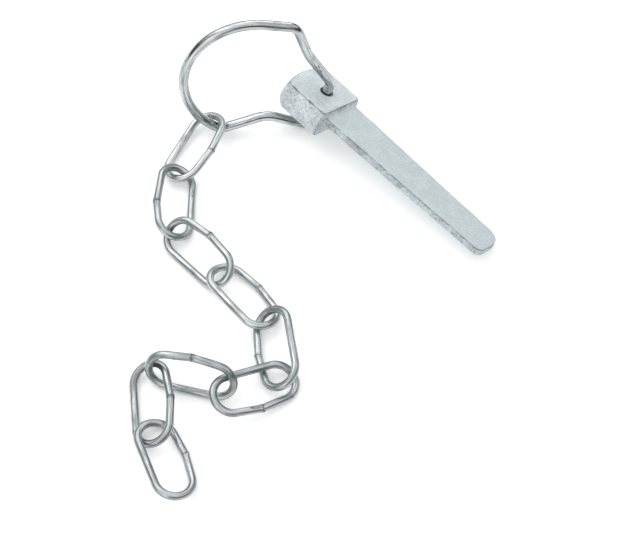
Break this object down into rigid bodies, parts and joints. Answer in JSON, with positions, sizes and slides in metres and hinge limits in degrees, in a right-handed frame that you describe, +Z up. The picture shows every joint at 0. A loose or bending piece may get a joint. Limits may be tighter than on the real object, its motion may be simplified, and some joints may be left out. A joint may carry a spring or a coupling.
{
  "type": "cotter pin with ring and chain",
  "caption": "Flat forged cotter pin with a sprung wire ring through its head and a free length of long-link chain.",
  "frame": {"origin": "middle of the laid-out assembly's bounding box, on the surface that it lies on", "axes": "+Z up; +Y along the layout's longest extent, from the chain's free end to the cotter's head; +X to the right, the way the blade points"},
  "size_m": [0.1388, 0.1882, 0.0548],
  "materials": {
    "galvanised": "rough forged steel, hot-dip galvanised pale grey",
    "bright_zinc": "bright zinc-plated drawn wire"
  },
  "bodies": {
    "pin": {"pin": "galvanised"},
    "ring": {"ring": "bright_zinc"},
    "link_1": {"link_1": "bright_zinc"},
    "link_2": {"link_2": "bright_zinc"},
    "link_3": {"link_3": "bright_zinc"},
    "link_4": {"link_4": "bright_zinc"},
    "link_5": {"link_5": "bright_zinc"},
    "link_6": {"link_6": "bright_zinc"},
    "link_7": {"link_7": "bright_zinc"},
    "link_8": {"link_8": "bright_zinc"},
    "link_9": {"link_9": "bright_zinc"}
  },
  "joints": [
    {"name": "ring_turn", "type": "hinge", "parent": "pin", "child": "ring", "pos_m": [0.0038, 0.0783, 0.01735], "axis": [0.3615, 0.2351, 0.9022], "range_deg": [-150, 30]},
    {"name": "link_1_swing", "type": "hinge", "parent": "ring", "child": "link_1", "pos_m": [-0.04218, 0.0686, 0.00656], "axis": [0, 0, 1], "range_deg": [-18, 15]},
    {"name": "link_2_swing", "type": "hinge", "parent": "link_1", "child": "link_2", "pos_m": [-0.05211, 0.04936, 0.00459], "axis": [0, 0, -1], "range_deg": [-20, 15]},
    {"name": "link_3_swing", "type": "hinge", "parent": "link_2", "child": "link_3", "pos_m": [-0.05772, 0.02017, 0.00567], "axis": [0, 0, 1], "range_deg": [-35, 20]},
    {"name": "link_4_swing", "type": "hinge", "parent": "link_3", "child": "link_4", "pos_m": [-0.03858, -0.00344, 0.00504], "axis": [0, 0, -1], "range_deg": [-25, 35]},
    {"name": "link_5_swing", "type": "hinge", "parent": "link_4", "child": "link_5", "pos_m": [-0.02346, -0.01967, 0.00528], "axis": [0, 0, 1], "range_deg": [-12, 18]},
    {"name": "link_6_swing", "type": "hinge", "parent": "link_5", "child": "link_6", "pos_m": [-0.01636, -0.03957, 0.00491], "axis": [0, 0, -1], "range_deg": [-35, 35]},
    {"name": "link_7_swing", "type": "hinge", "parent": "link_6", "child": "link_7", "pos_m": [-0.03031, -0.05011, 0.00776], "axis": [0, 0, 1], "range_deg": [-35, 35]},
    {"name": "link_8_swing", "type": "hinge", "parent": "link_7", "child": "link_8", "pos_m": [-0.06241, -0.04233, 0.00637], "axis": [0, 0, -1], "range_deg": [-35, 35]},
    {"name": "link_9_swing", "type": "hinge", "parent": "link_8", "child": "link_9", "pos_m": [-0.06092, -0.06635, 0.00409], "axis": [0, 0, 1], "range_deg": [-40, 10]}
  ]
}
